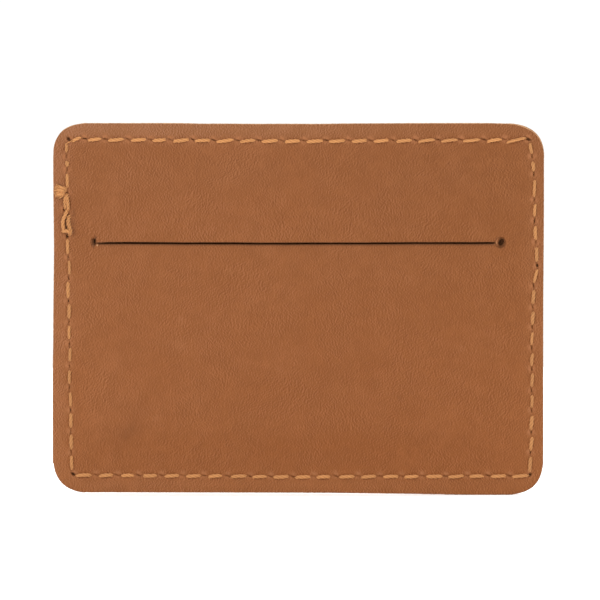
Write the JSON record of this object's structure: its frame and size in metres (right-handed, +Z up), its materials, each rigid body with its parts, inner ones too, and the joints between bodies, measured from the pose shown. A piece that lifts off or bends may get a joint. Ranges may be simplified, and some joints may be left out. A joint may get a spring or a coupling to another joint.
{
  "type": "leather card holder",
  "caption": "Flat leather card holder: front and back panels sewn together on all four sides, with a long card slit in the front that ends in punched holes.",
  "frame": {"origin": "middle of the bottom edge, midway between the faces", "axes": "+Z up from the bottom edge, +X along the width to the right as seen from the front, front face towards -Y"},
  "size_m": [0.104, 0.0046, 0.0788],
  "materials": {
    "front_leather": "smooth full-grain tan leather, satin, with raw cut edges",
    "back_leather": "smooth full-grain tan leather, satin, with raw cut edges",
    "thread": "twisted two-ply sewing thread, light tan, matt"
  },
  "bodies": {
    "root": {"front_panel": "front_leather", "back_panel": "back_leather", "needle_thread": "thread", "bobbin_thread": "thread", "backtack": "thread", "thread_tail": "thread"}
  },
  "joints": []
}
